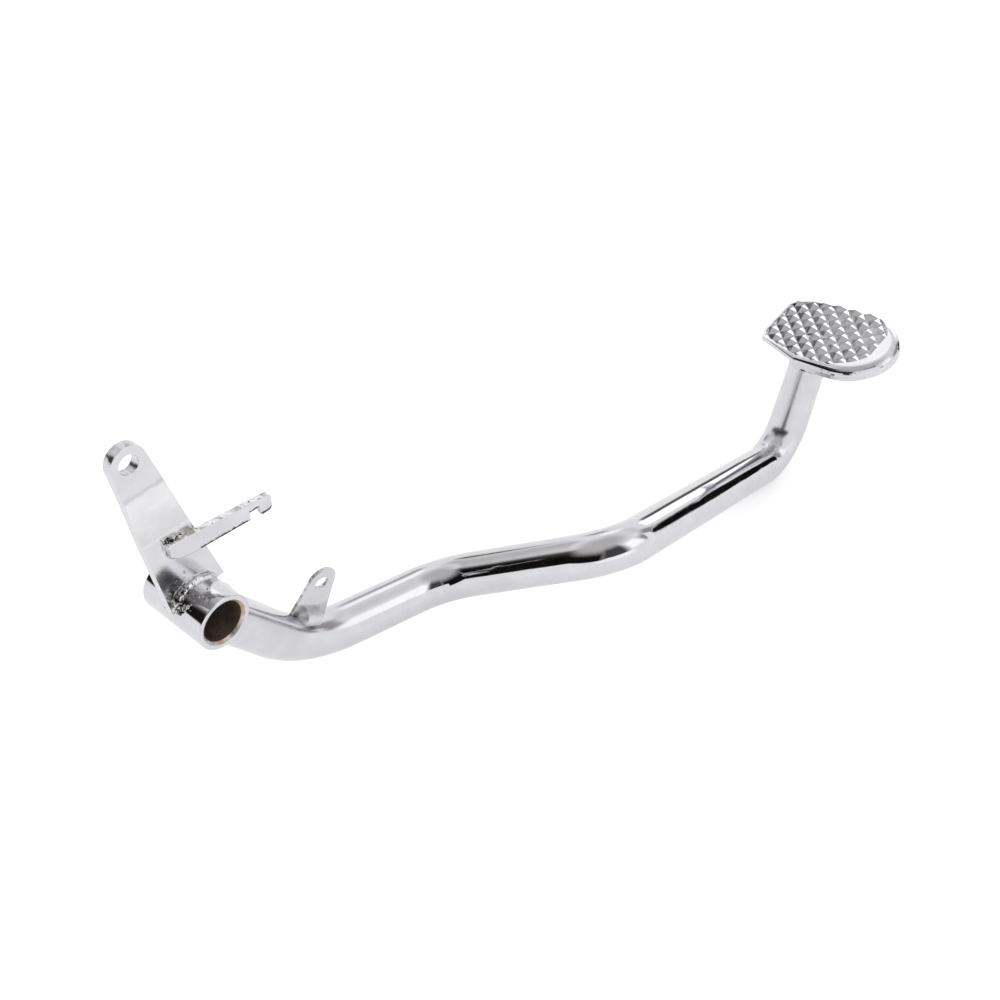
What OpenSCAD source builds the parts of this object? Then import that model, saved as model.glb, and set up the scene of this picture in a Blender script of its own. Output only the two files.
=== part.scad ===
// Rear brake pedal for the right side of a motorbike: a welded steel lever, chromed all over.
// +X runs forwards to the foot pad, +Z up, and -Y outwards, away from the bike.
// The origin is the middle of the pivot bore, on its axis.

/* [Pivot sleeve] */
// Outside diameter of the sleeve
sleeve_od = 21; // [19:0.1:24]
// Diameter of the pivot bore
bore_d = 15.5; // [12:0.1:16.5]
// Length of the sleeve along the pivot axis
sleeve_len = 30; // [27:0.5:45]
// Chamfer at each mouth of the bore
bore_chamfer = 1.1; // [0.4:0.1:1.2]
// Rounding of the sleeve's outer edges
sleeve_edge = 0.5; // [0.2:0.1:0.8]

/* [Lever tube] */
// Outside diameter of the lever tube
tube_od = 18; // [15:0.1:19]
// Wall of the lever tube
tube_wall = 2; // [1.2:0.1:3]
// Diameter of the tube at the bend under the riser
tube_toe_d = 17.4; // [16:0.1:18]
// Diameter of the tube where it enters the foot pad
tube_top_d = 16.2; // [14:0.1:17]
// Gap between the tube's side and the outer end of the sleeve
tube_inset = 0.5; // [0:0.1:3]
// How far forward the first bend lies
knee_x = 35; // [31:0.5:40]
// Drop of the first bend under the pivot
knee_drop = 48.5; // [44:0.5:53]
// How far forward the second bend lies
jog_start_x = 100; // [96:0.5:104]
// Outward shift of the second bend from the sleeve's plane
jog_start_out = 12; // [8:0.5:16]
// Drop of the second bend under the pivot
jog_start_drop = 55.5; // [51:0.5:60]
// How far forward the third bend lies
jog_end_x = 134.5; // [130:0.5:142]
// Outward shift of the third bend from the sleeve's plane
jog_end_out = 72; // [64:0.5:76]
// Drop of the third bend under the pivot
jog_end_drop = 27; // [22:0.5:32]
// How far forward the last bend lies
toe_x = 276.5; // [258:0.5:296]
// Outward shift of the last bend from the sleeve's plane
toe_out = 64.5; // [60:0.5:70]
// Drop of the last bend under the pivot
toe_drop = 74.5; // [70:0.5:80]
// Height of the riser from the last bend's corner to the pad's sheet
riser_h = 52.8; // [46:0.1:60]
// Forward lean of the riser between its bend and the pad
riser_lean = 16.1; // [8:0.1:20]
// Bend radius at the knee, on the tube's centre line
knee_r = 48.5; // [40:0.5:54]
// Bend radius where the jog starts
jog_start_r = 27; // [22:0.5:32]
// Bend radius where the jog ends
jog_end_r = 21.5; // [19:0.5:28]
// Bend radius under the riser
toe_r = 18.5; // [17:0.5:22]

/* [Brake rod arm] */
// Thickness of the arm
arm_t = 3.6; // [3:0.1:5]
// Outer face of the arm, measured from the sleeve's outer end
arm_inset = 13.5; // [11:0.5:18]
// Height of the rod hole over the pivot axis
rod_hole_z = 70.3; // [62:0.5:80]
// Rearward place of the rod hole
rod_hole_back = 12.6; // [8:0.1:16]
// Diameter of the rod hole
rod_hole_d = 7; // [5:0.1:8.5]
// Radius of the arm's round top
arm_top_r = 6.4; // [6:0.1:9]
// Rear corner of the arm's foot
arm_foot_back = 10.2; // [9:0.1:10.4]
// Front corner of the arm's foot
arm_foot_front = 12.1; // [11:0.1:14]
// Height of the front corner over the pivot axis
arm_foot_z = 5.6; // [4:0.1:8]
// Outward step of the arm's upper part
arm_step = 1.5; // [0.5:0.1:2.5]
// Height where the step starts
step_low_z = 36; // [32:0.5:40]
// Height where the step ends
step_high_z = 58; // [52:0.5:60]

/* [Spring hook finger] */
// Thickness of the finger
finger_t = 2.5; // [2:0.1:3.5]
// Rear end of the finger, behind the pivot
finger_back = 7; // [5:0.1:8]
// Front end of the finger
finger_tip_x = 34.2; // [30:0.1:38]
// Height of the finger's top edge at its rear end
finger_top_z = 33.4; // [31:0.1:35]
// Fall of the top edge over the finger's length
finger_fall = 5.3; // [3:0.1:6.5]
// Height of the finger's lower edge beside the notch
finger_low_z = 22.5; // [21:0.1:25]
// Width of the notch for the spring's loop
notch_w = 4.1; // [2.5:0.1:5]
// Height of the notch over the lower edge
notch_h = 3.1; // [2:0.1:3.2]
// Width of the hook's end
hook_w = 5.4; // [4.5:0.1:7]

/* [Switch spring tab] */
// Thickness of the tab
tab_t = 1.5; // [1.2:0.1:3]
// Outer face of the tab, inwards from the middle of the tube
tab_shift = 1; // [0:0.1:2]
// Height of the tab's hole over the tube
tab_hole_up = 16.4; // [14:0.1:19]
// Place of the tab's hole round the knee's bend, in degrees
tab_hole_turn = 10.7; // [6:0.1:16]
// Diameter of the tab's hole
tab_hole_d = 5.2; // [3.5:0.1:6]
// Radius of the tab's round top
tab_top_r = 5.5; // [5:0.1:7]
// Rear end of the tab's foot round the knee's bend, in degrees
tab_foot_back = 7.7; // [4:0.1:10]
// Front end of the tab's foot round the knee's bend, in degrees
tab_foot_front = 32; // [26:0.5:38]

/* [Foot pad] */
// Length of the pad, front to rear
pad_len = 42.9; // [36:0.1:48]
// Reach of the pad's round end outwards from the riser
pad_outer = 34.3; // [28:0.1:38]
// Reach of the pad's rear side behind the riser's middle
pad_behind = 11.1; // [10:0.1:13]
// Reach of the pad inwards from the riser
pad_inner = 26.4; // [20:0.1:30]
// Height of the pad's turned-down skirt under its sheet
skirt_h = 3.1; // [2:0.1:8]
// Where the skirt ends, inwards from the riser
skirt_end = 6.4; // [2:0.1:12]
// Thickness of the pad's sheet
pad_sheet = 1.5; // [1.2:0.1:3]
// Radius of the pad's rolled edge
pad_roll_r = 2.2; // [1.8:0.1:4]
// Radius of the rolled edge round the pad's outer end
pad_end_roll_r = 4; // [2.2:0.1:5]
// Backward tilt of the pad
pad_tilt_back = 8.7; // [0:0.1:14]
// Inward tilt of the pad
pad_tilt_in = 7.5; // [0:0.1:12]
// Length of the cut at the inner rear corner, along the pad
pad_cut = 7; // [4:0.1:10]
// Pitch of the pyramid knurl
knurl_pitch = 5.5; // [4:0.1:8]
// Height of the pyramids
knurl_h = 1.5; // [0.8:0.1:1.6]
// How far the pyramids' points stand over the rolled edge
knurl_stand = 0.6; // [0.2:0.1:0.8]
// Smooth band between the knurl and the tip of the round end
knurl_band = 8.8; // [5:0.1:12]
// Radius of the knurl's round rear corner
knurl_corner_r = 20.9; // [18:0.1:24]

/* [Welds] */
// Leg of the bead between arm and sleeve
arm_bead = 3; // [2:0.1:4]
// Leg of the bead between lever and sleeve
lever_bead = 2; // [1.5:0.1:3]
// Leg of the big bead on the tab's outer face
tab_bead = 3.6; // [2:0.1:4]
// Leg of the small beads
small_bead = 1.5; // [1:0.1:2.2]

/* [Hidden] */
$fn = 64;

sleeve_r = sleeve_od / 2;
bore_r = bore_d / 2;
sleeve_out_y = -sleeve_len / 2;
past = 1;

tube_r = tube_od / 2;
tube_toe_r = tube_toe_d / 2;
tube_top_r = tube_top_d / 2;
lever_y = sleeve_out_y + tube_inset + tube_r;
// The bends stand out a little over the straights, which run a little into them
swell = 0.05;
into = 0.8;
// The beads in the knee lie this close to the round of the tube
bead_gap = 0.03;

arm_out_y = sleeve_out_y + arm_inset;
arm_in_y = arm_out_y + arm_t;
rod_hole = [-rod_hole_back, rod_hole_z];

finger_out_y = arm_out_y - finger_t;

// Corners of the tube's centre line, the last one under the pad's sheet
knee = [knee_x, lever_y, -knee_drop];
jog_start = [jog_start_x, lever_y - jog_start_out, -jog_start_drop];
jog_end = [jog_end_x, lever_y - jog_end_out, -jog_end_drop];
toe = [toe_x, lever_y - toe_out, -toe_drop];
riser_top = toe + [riser_h * tan(riser_lean), 0, riser_h];
route = [[0, lever_y, 0], knee, jog_start, jog_end, toe, riser_top];
bends = [0, knee_r, jog_start_r, jog_end_r, toe_r, 0];
radii = [tube_r, tube_r, tube_r, tube_r, tube_toe_r, tube_top_r];

function unit(v) = v / norm(v);
function leg(i) = unit(route[i + 1] - route[i]);
function turn(i) = acos(leg(i - 1) * leg(i));
function setback(i) = bends[i] == 0 ? 0 : bends[i] * tan(turn(i) / 2);
function bend_in(i) = route[i] - leg(i - 1) * setback(i);
function bend_out(i) = route[i] + leg(i) * setback(i);
function inward(i) = unit(leg(i) - leg(i - 1) * (leg(i - 1) * leg(i)));

// Points where a straight edge from a corner touches a round end
function tangent(c, r, p, side) =
  let (away = atan2(p[1] - c[1], p[0] - c[0]), half = acos(r / norm(p - c)))
    c + r * [cos(away + side * half), sin(away + side * half)];

// A rod from one point to another
module rod(from, to, r1, r2) {
  run = to - from;
  translate(from)
    rotate([0, acos(run[2] / norm(run)), atan2(run[1], run[0])])
      cylinder(h = norm(run), r1 = r1, r2 = r2);
}

// A straight stretch of tube, as wide as radii at its ends
module pipe(from, to, r1, r2, wall) {
  run = to - from;
  translate(from)
    rotate([0, acos(run[2] / norm(run)), atan2(run[1], run[0])])
      rotate_extrude()
        polygon([[r1 - wall, 0], [r1, 0], [r2, norm(run)], [r2 - wall, norm(run)]]);
}

// Frame of bend i: its centre, X out to where the bend starts, Y along the tube there
module in_bend(i) {
  a = leg(i - 1);
  n = inward(i);
  m = cross(a, n);
  c = bend_in(i) + n * bends[i];
  multmatrix([
    [-n[0], a[0], m[0], c[0]],
    [-n[1], a[1], m[1], c[1]],
    [-n[2], a[2], m[2], c[2]],
    [0, 0, 0, 1]
  ])
    children();
}

// The first straight and the riser as full bars, and the knee as a full bend
module first_bar() {
  rod(route[0], bend_in(1), tube_r, tube_r);
}

module riser_bar(extra = 0) {
  run = leg(4);
  wider = (tube_top_r - tube_toe_r) / norm(riser_top - bend_out(4));
  rod(bend_out(4), riser_top + run * extra, tube_toe_r, tube_top_r + wider * extra);
}

module knee_bar() {
  in_bend(1)
    rotate_extrude(angle = turn(1))
      translate([knee_r, 0])
        circle(tube_r + swell);
}

// A round bar along the pivot axis
module across(r, from_y, to_y) {
  translate([0, from_y, 0])
    rotate([-90, 0, 0])
      cylinder(h = to_y - from_y, r = r);
}

// A flat plate from an outline in X and Z, from one Y to another
module plate(from_y, to_y) {
  translate([0, to_y, 0])
    rotate([90, 0, 0])
      linear_extrude(to_y - from_y)
        children();
}

// Profile of a bead: rings along a path, each with its own radius, closed by a point at each end
module bead(path, radii, sides = 10) {
  n = len(path);
  dirs = [for (i = [0 : n - 1]) unit(path[min(i + 1, n - 1)] - path[max(i - 1, 0)])];
  rings = [
    for (i = [0 : n - 1])
      let (u = unit(cross(dirs[i], [0.13, 0.31, 0.94])), v = cross(dirs[i], u))
        [for (k = [0 : sides - 1])
          path[i] + radii[i] * (cos(360 * k / sides) * u + sin(360 * k / sides) * v)]
  ];
  points = concat(
    [path[0] - dirs[0] * radii[0] * 0.6],
    [for (ring = rings) for (p = ring) p],
    [path[n - 1] + dirs[n - 1] * radii[n - 1] * 0.6]
  );
  last = n * sides + 1;
  walls = [
    for (i = [0 : n - 2]) for (k = [0 : sides - 1])
      let (a = 1 + i * sides + k, b = 1 + i * sides + (k + 1) % sides)
        each [[b, a, b + sides], [b + sides, a, a + sides]]
  ];
  start = [for (k = [0 : sides - 1]) [1 + (k + 1) % sides, 0, 1 + k]];
  end = [for (k = [0 : sides - 1])
    [1 + (n - 1) * sides + k, last, 1 + (n - 1) * sides + (k + 1) % sides]];
  polyhedron(points, concat(start, walls, end));
}

// Radius along a bead: its leg with the ripples of the welding runs, thinner at both ends
function ripple(leg, i, n) =
  leg * (0.62 + 0.38 * sin(180 * i / (n - 1))) * (1 + 0.07 * sin(i * 137));

module pivot_sleeve() {
  color("silver")
    rotate([90, 0, 0])
      rotate_extrude()
        polygon([
          [bore_r, -sleeve_len / 2 + bore_chamfer],
          [bore_r + bore_chamfer, -sleeve_len / 2],
          [sleeve_r - sleeve_edge, -sleeve_len / 2],
          [sleeve_r, -sleeve_len / 2 + sleeve_edge],
          [sleeve_r, sleeve_len / 2 - sleeve_edge],
          [sleeve_r - sleeve_edge, sleeve_len / 2],
          [bore_r + bore_chamfer, sleeve_len / 2],
          [bore_r, sleeve_len / 2 - bore_chamfer]
        ]);
}

// The lever is one bent tube. Its solids meet on flat faces where a bend ends: straight i of it,
// run into the bends of its own solid at its start and end, and bend i
module straight(i, at_start, at_end) {
  pipe(
    bend_out(i) - leg(i) * at_start, bend_in(i + 1) + leg(i) * at_end,
    radii[i], radii[i + 1], tube_wall
  );
}

module curve(i) {
  in_bend(i)
    rotate_extrude(angle = turn(i))
      translate([bends[i], 0])
        difference() {
          circle(radii[i] + swell);
          circle(radii[i] - tube_wall - swell);
        }
}

// The first straight, cut to the sleeve, and the knee
module lever_knee() {
  color("gainsboro")
    difference() {
      union() {
        straight(0, 0, into);
        curve(1);
      }
      across(sleeve_r, sleeve_out_y - past, -sleeve_out_y + past);
    }
}

// The middle straight with the jog's outward bend and its bend back
module lever_jog() {
  color("gainsboro")
    union() {
      straight(1, 0, into);
      curve(2);
      straight(2, into, into);
      curve(3);
    }
}

module lever_stretch() {
  color("gainsboro")
    straight(3, 0, 0);
}

// The toe bend and the riser, cut flat under the pad's sheet and inside its skirt
module lever_riser() {
  last = len(route) - 2;
  wider = (radii[last + 1] - radii[last]) / norm(riser_top - bend_out(last));
  trim = tube_r;
  color("gainsboro")
    difference() {
      union() {
        curve(last);
        pipe(
          bend_out(last) - leg(last) * into, riser_top + leg(last) * trim,
          radii[last], radii[last + 1] + wider * trim, tube_wall
        );
      }
      on_pad() {
        translate([-pad_len, -pad_len, underside])
          cube([2 * pad_len, 2 * pad_len, 2 * pad_len]);
        translate([pad_rear + pad_sheet - pad_len, -pad_len, underside - skirt_h])
          cube([pad_len, 2 * pad_len, skirt_h + past]);
      }
    }
}

// The arm's two straight edges, from its round top down to the sleeve
module arm_sides() {
  rear_foot = [-arm_foot_back, 2];
  front_foot = [arm_foot_front, arm_foot_z];
  polygon([
    rear_foot,
    tangent(rod_hole, arm_top_r, rear_foot, -1),
    tangent(rod_hole, arm_top_r, front_foot, 1),
    front_foot,
    [0, arm_foot_z],
    [0, 2]
  ]);
}

// Side profile of the arm in Y and Z: straight foot, gentle step, straight top
module arm_profile() {
  top = rod_hole_z + arm_top_r + past;
  polygon([
    [arm_out_y, -past],
    [arm_in_y, -past],
    [arm_in_y, step_low_z],
    [arm_in_y - arm_step, step_high_z],
    [arm_in_y - arm_step, top],
    [arm_out_y - arm_step, top],
    [arm_out_y - arm_step, step_high_z],
    [arm_out_y, step_low_z]
  ]);
}

module brake_rod_arm() {
  reach = rod_hole_back + arm_top_r + past;
  color("lightgray")
    difference() {
      intersection() {
        union() {
          plate(arm_out_y - arm_step - past, arm_in_y + past)
            arm_sides();
          plate(arm_out_y - arm_step - past, arm_in_y + past)
            translate(rod_hole)
              circle(arm_top_r);
        }
        translate([-reach, 0, 0])
          rotate([90, 0, 90])
            linear_extrude(reach + arm_foot_front + past)
              arm_profile();
      }
      across(sleeve_r, sleeve_out_y, -sleeve_out_y);
      translate([rod_hole[0], arm_out_y - arm_step - past, rod_hole[1]])
        rotate([-90, 0, 0])
          cylinder(h = arm_t + arm_step + 2 * past, d = rod_hole_d);
    }
}

// Points of an arc round c
function arc(c, r, from, to, n = 6) =
  [for (k = [0 : n]) c + r * [cos(from + (to - from) * k / n), sin(from + (to - from) * k / n)]];

// The strip, its hooked end and the notch that holds the spring's loop
// Its lower edge rises from the notch through two points to its rear end. The hook hangs lower.
neck_drop = 0.2;
hook_drop = 1.2;
finger_belly = [1, 2.1];
finger_heel = [3.2, 3.2];
finger_end_low = 5.6;

module finger_outline() {
  notch_front = finger_tip_x - hook_w;
  notch_top = finger_low_z - neck_drop + notch_h;
  hook_low = finger_low_z - hook_drop;
  corner_r = 1.8;
  front = finger_tip_x - corner_r;
  polygon(concat(
    [[-finger_back, finger_low_z + finger_end_low], [-finger_back, finger_top_z]],
    arc([front, finger_top_z - finger_fall - corner_r], corner_r, 90, 0),
    arc([front, hook_low + corner_r], corner_r, 0, -90),
    arc([notch_front + corner_r, hook_low + corner_r], corner_r, -90, -180),
    [
      [notch_front, notch_top],
      [notch_front - notch_w, notch_top],
      [notch_front - notch_w, finger_low_z - neck_drop],
      [finger_belly[0], finger_low_z + finger_belly[1]],
      [finger_heel[0] - finger_back, finger_low_z + finger_heel[1]]
    ]
  ));
}

module spring_hook_finger() {
  color("silver")
    plate(finger_out_y, arm_out_y)
      finger_outline();
}

// The tab lies in the plane of the knee's bend. Its outline is measured from the bend's centre,
// where the tube's inner side has this radius at the tab's outer face.
tab_top_shift = [1.1, 0.6];
tab_foot_r = knee_r - sqrt(pow(tube_r, 2) - pow(tab_shift, 2));
tab_hole = (tab_foot_r - tab_hole_up) * [cos(tab_hole_turn), sin(tab_hole_turn)];
tab_top = tab_hole - tab_top_shift;

module tab_sides() {
  deep = tab_foot_r + past;
  rear_foot = deep * [cos(tab_foot_back), sin(tab_foot_back)];
  front_foot = deep * [cos(tab_foot_front), sin(tab_foot_front)];
  polygon([
    rear_foot,
    tangent(tab_top, tab_top_r, rear_foot, -1),
    tangent(tab_top, tab_top_r, front_foot, 1),
    front_foot
  ]);
}

module switch_spring_tab() {
  color("silver")
    difference() {
      in_bend(1)
        translate([0, 0, -tab_shift - tab_t])
          difference() {
            union() {
              linear_extrude(tab_t)
                tab_sides();
              translate(tab_top)
                cylinder(h = tab_t, r = tab_top_r);
            }
            translate([tab_hole[0], tab_hole[1], -past])
              cylinder(h = tab_t + 2 * past, d = tab_hole_d);
          }
      knee_bar();
    }
}

pad_rear = -pad_behind;
pad_front = pad_rear + pad_len;
end_r = pad_len / 2;
end_at = [pad_rear + end_r, end_r - pad_outer];
side_r = pad_roll_r + 0.4;
underside = -pad_sheet - knurl_h + knurl_stand;
// The inner end's front end, and two points round its front corner, back from the pad's front
// and down from its inner end
inner_front = 7.6;
corner_low = [4.6, 2.3];
corner_side = [1.8, 9.5];
// The cut at the rear corner: its drop, and its run to the inner end
cut_low = 1.7;
cut_run = 6;
// The knurl's distance from the pad's edge, its rear side, its round corner's middle, and how
// far its outer side stops short of the front
knurl_rim = 0.8;
knurl_in = 1.8;
knurl_turn = [2.8, 6.3];
knurl_front = 6.7;

// Places the pad: its own origin lies over the riser's middle, level with the pad's rolled edge
module on_pad() {
  translate(riser_top - [0, 0, underside])
    rotate([-pad_tilt_in, 0, 0])
      rotate([0, -pad_tilt_back, 0])
        children();
}

// A round block whose upper edge is rolled over, down from level 0
module puck(r, roll, low) {
  rotate_extrude() {
    translate([0, low])
      square([r, -roll - low]);
    translate([0, -roll])
      square([r - roll, roll]);
    intersection() {
      translate([r - roll, -roll])
        circle(roll, $fn = 32);
      translate([r - roll, -roll])
        square(roll);
    }
  }
}

// The pad as a full block, smaller all round by inset: round outer end, curved front,
// square inner end with its rear corner cut off
module pad_block(inset, low) {
  hull() {
    translate(end_at)
      puck(end_r - inset, pad_end_roll_r - inset, low, $fn = 72);
    translate([pad_rear + side_r, skirt_end - side_r])
      puck(side_r - inset, pad_roll_r - inset, low, $fn = 32);
    translate([pad_front - 0.3 - side_r, skirt_end - side_r])
      puck(side_r - inset, pad_roll_r - inset, low, $fn = 32);
    translate([0, 0, low])
      linear_extrude(-low)
        polygon([
          [pad_rear + pad_cut + 0.9 + inset, pad_inner - cut_low],
          [pad_rear + pad_cut + cut_run, pad_inner],
          [pad_front - inner_front - inset, pad_inner],
          [pad_front - corner_low[0] - inset, pad_inner - corner_low[1]],
          [pad_front - corner_side[0] - inset, pad_inner - corner_side[1]]
        ]);
  }
}

// Area of the knurl, or of a place inset from it: close to the inner edges, round at its rear
// corner, and cut off straight short of the round end
module knurl_area(inset = 0) {
  keep = knurl_rim + inset;
  turn_at = [pad_rear + knurl_corner_r + knurl_turn[0], -knurl_turn[1]];
  intersection() {
    polygon([
      [pad_rear + knurl_in + keep, skirt_end],
      [pad_rear + pad_cut + 1 + keep, pad_inner - cut_low - keep],
      [pad_rear + pad_cut + cut_run, pad_inner - keep],
      [pad_front - inner_front - keep, pad_inner - keep],
      [pad_front - corner_low[0] - keep, pad_inner - corner_low[1] - keep],
      [pad_front - corner_side[0] - keep, pad_inner - corner_side[1]],
      [pad_front - keep, skirt_end],
      [pad_front - keep, end_at[1] - 5],
      [pad_front - knurl_front - keep, knurl_band - pad_outer + inset],
      [pad_rear + knurl_in + keep, knurl_band - pad_outer + inset]
    ]);
    union() {
      translate(turn_at)
        circle(knurl_corner_r - inset);
      translate([pad_rear + 1, turn_at[1] + 1])
        square([pad_len, pad_len]);
    }
  }
}

// V grooves side by side at an angle, as deep as the pyramids are high
module grooves(angle) {
  count = ceil(pad_len / knurl_pitch);
  rotate([0, 0, angle])
    rotate([90, 0, 0])
      linear_extrude(2 * pad_len, center = true)
        polygon(concat(
          [
            for (i = [-count : count])
              each [
                [i * knurl_pitch, knurl_stand - knurl_h],
                [(i + 0.5) * knurl_pitch, knurl_stand]
              ]
          ],
          [
            [(count + 0.5) * knurl_pitch, knurl_stand + past],
            [-count * knurl_pitch, knurl_stand + past]
          ]
        ));
}

// Sheet with its skirt, sunk under the knurl, and the field of pyramids with small flats on top
module foot_pad() {
  tip_flat = 0.1;
  rim = 0.3;
  color("gainsboro")
    on_pad() {
      difference() {
        pad_block(0, underside - skirt_h);
        translate([0, 0, underside])
          pad_block(pad_sheet, -2 * skirt_h);
        translate([pad_rear - past, skirt_end, underside - 2 * skirt_h])
          cube([pad_len + 2 * past, pad_inner, 2 * skirt_h]);
        translate([0, 0, rim - knurl_h])
          linear_extrude(2 * knurl_h)
            knurl_area(rim);
      }
      difference() {
        translate([0, 0, -knurl_h])
          linear_extrude(knurl_h + knurl_stand - tip_flat)
            knurl_area();
        grooves(45);
        grooves(-45);
      }
    }
}

// A row of places from one value to another, and the bead's leg at each of them
function steps(from, to, n) = [for (i = [0 : n - 1]) from + (to - from) * i / (n - 1)];
function runs(leg, n) = [for (i = [0 : n - 1]) ripple(leg, i, n)];

// A bead where the arm stands on the sleeve, on one face of the arm
module arm_bead_at(y, from_a, to_a) {
  n = 30;
  bead(
    [for (a = steps(from_a, to_a, n)) [sleeve_r * cos(a), y, sleeve_r * sin(a)]],
    runs(arm_bead, n)
  );
}

module arm_weld_outer() {
  color("darkgray")
    difference() {
      arm_bead_at(arm_out_y, 160, 34);
      across(sleeve_r, sleeve_out_y, -sleeve_out_y);
      translate([-2 * sleeve_r, arm_out_y, -sleeve_r])
        cube([4 * sleeve_r, 2 * arm_bead, 4 * sleeve_r]);
      first_bar();
    }
}

module arm_weld_inner() {
  color("darkgray")
    difference() {
      arm_bead_at(arm_in_y, 160, 34);
      across(sleeve_r, sleeve_out_y, -sleeve_out_y);
      translate([-2 * sleeve_r, arm_in_y - 2 * arm_bead, -sleeve_r])
        cube([4 * sleeve_r, 2 * arm_bead, 4 * sleeve_r]);
      first_bar();
    }
}

// The bead goes under the tube's saddle on the sleeve, from its outer side to its inner side
module lever_weld() {
  n = 36;
  a = leg(0);
  u = [-a[2], 0, a[0]];
  color("darkgray")
    difference() {
      bead(
        [for (t = steps(12, -192, n))
          [0, lever_y, 0] + a * sqrt(pow(sleeve_r, 2) - pow(tube_r * cos(t), 2))
            + tube_r * (cos(t) * u - sin(t) * [0, 1, 0])],
        runs(lever_bead, n)
      );
      across(sleeve_r, sleeve_out_y, -sleeve_out_y);
      first_bar();
    }
}

// A bead on the arm's outer face along an edge of the finger
module finger_bead(path) {
  n = len(path);
  difference() {
    bead(path, runs(small_bead, n));
    translate([-2 * sleeve_r, arm_out_y, 0])
      cube([4 * sleeve_r, 2 * small_bead, 2 * finger_top_z]);
    spring_hook_finger();
  }
}

module finger_weld_top() {
  slope = finger_fall / (finger_tip_x + finger_back);
  color("darkgray")
    finger_bead([for (x = steps(-finger_back - 0.4, 1.5, 14))
      [x, arm_out_y, finger_top_z - (x + finger_back) * slope]]);
}

module finger_weld_low() {
  color("darkgray")
    finger_bead([for (t = steps(0, 1, 14))
      [-finger_back + 8 * t * t, arm_out_y, finger_low_z + 6.4 - 5 * t + 0.9 * t * t]]);
}

// Ring of a bead in the corner between the tube and a face of the tab, at a turn of the bend:
// along the tube to the corner, up the face by the leg, and back over a bulging outer side.
// The face lies at a height over the bend's plane, and way is 1 or -1, the side the bead is on.
function corner_ring(at, face, way, leg) =
  let (
    r = tube_r + swell + bead_gap,
    start = asin(face / r),
    sweep = way * leg / r * 180 / PI,
    on_tube = [for (k = [3 : -1 : 0])
      let (a = start + sweep * k / 3) [knee_r - r * cos(a), r * sin(a)]],
    corner = on_tube[3],
    top = corner - [leg, 0],
    outer = [for (q = [0.25, 0.5, 0.75])
      let (p = top + (on_tube[0] - top) * q) p + (p - corner) * 0.35 * sin(180 * q)],
    ring = concat(on_tube, [top], outer)
  )
  [for (k = [0 : len(ring) - 1])
    let (p = ring[way > 0 ? k : len(ring) - 1 - k]) [p[0] * cos(at), p[0] * sin(at), p[1]]];

// A bead along the tab's foot, with the ripples of the welding runs
module tab_bead_at(face, way, leg, n) {
  turns = steps(tab_foot_back + 1.6, tab_foot_front - 0.6, n);
  rings = [for (i = [0 : n - 1])
    corner_ring(turns[i], face, way, ripple(leg, i, n) * (i == 0 || i == n - 1 ? 0.5 : 1))];
  sides = len(rings[0]);
  in_bend(1)
    polyhedron(
      [for (ring = rings) for (p = ring) p],
      concat(
        [[for (k = [0 : sides - 1]) k]],
        [[for (k = [0 : sides - 1]) n * sides - 1 - k]],
        [for (i = [0 : n - 2]) for (k = [0 : sides - 1])
          let (a = i * sides + k, b = i * sides + (k + 1) % sides)
            each [[b, a, a + sides], [b, a + sides, b + sides]]]
      )
    );
}

module tab_weld_outer() {
  color("darkgray")
    tab_bead_at(-tab_shift, 1, tab_bead, 18);
}

module tab_weld_inner() {
  color("darkgray")
    tab_bead_at(-tab_shift - tab_t, -1, small_bead, 16);
}

// Middle of the riser at a level of the pad, in the pad's own frame
function riser_at(level) = [
  underside * sin(pad_tilt_back) + (level - underside) * tan(riser_lean + pad_tilt_back),
  -underside * sin(pad_tilt_in) - (level - underside) * tan(pad_tilt_in)
];

// The bead under the sheet goes round the front of the riser
module pad_weld_front() {
  n = 36;
  at = riser_at(underside);
  long = tube_top_r / cos(riser_lean + pad_tilt_back);
  color("darkgray")
    difference() {
      on_pad()
        bead(
          [for (t = steps(-104, 112, n))
            [at[0] + long * cos(t), at[1] + tube_top_r * sin(t), underside]],
          runs(1.4 * small_bead, n)
        );
      riser_bar(tube_r);
      on_pad()
        translate([-pad_len, -pad_len, underside])
          cube([2 * pad_len, 2 * pad_len, 3 * small_bead]);
    }
}

// The bead behind the riser runs along the skirt's lower edge
module pad_weld_rear() {
  n = 24;
  level = underside - skirt_h;
  color("darkgray")
    difference() {
      on_pad()
        bead(
          [for (y = steps(skirt_end - 0.8, -tube_r, n))
            [pad_rear + 0.8 + pow(y, 2) / (8 * tube_r), y, level]],
          runs(0.8 * small_bead, n)
        );
      riser_bar(tube_r);
      on_pad()
        translate([-pad_len, -pad_len, level])
          cube([2 * pad_len, 2 * pad_len, 3 * small_bead]);
    }
}

pivot_sleeve();
lever_knee();
lever_jog();
lever_stretch();
lever_riser();
brake_rod_arm();
spring_hook_finger();
switch_spring_tab();
foot_pad();
arm_weld_outer();
arm_weld_inner();
lever_weld();
finger_weld_top();
finger_weld_low();
tab_weld_outer();
tab_weld_inner();
pad_weld_front();
pad_weld_rear();
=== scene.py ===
"""Rear brake pedal of a motorbike: welded and chromed steel, on a table in a white studio."""

import math

import bmesh
import bpy
from mathutils import Matrix, Vector, noise


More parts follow.
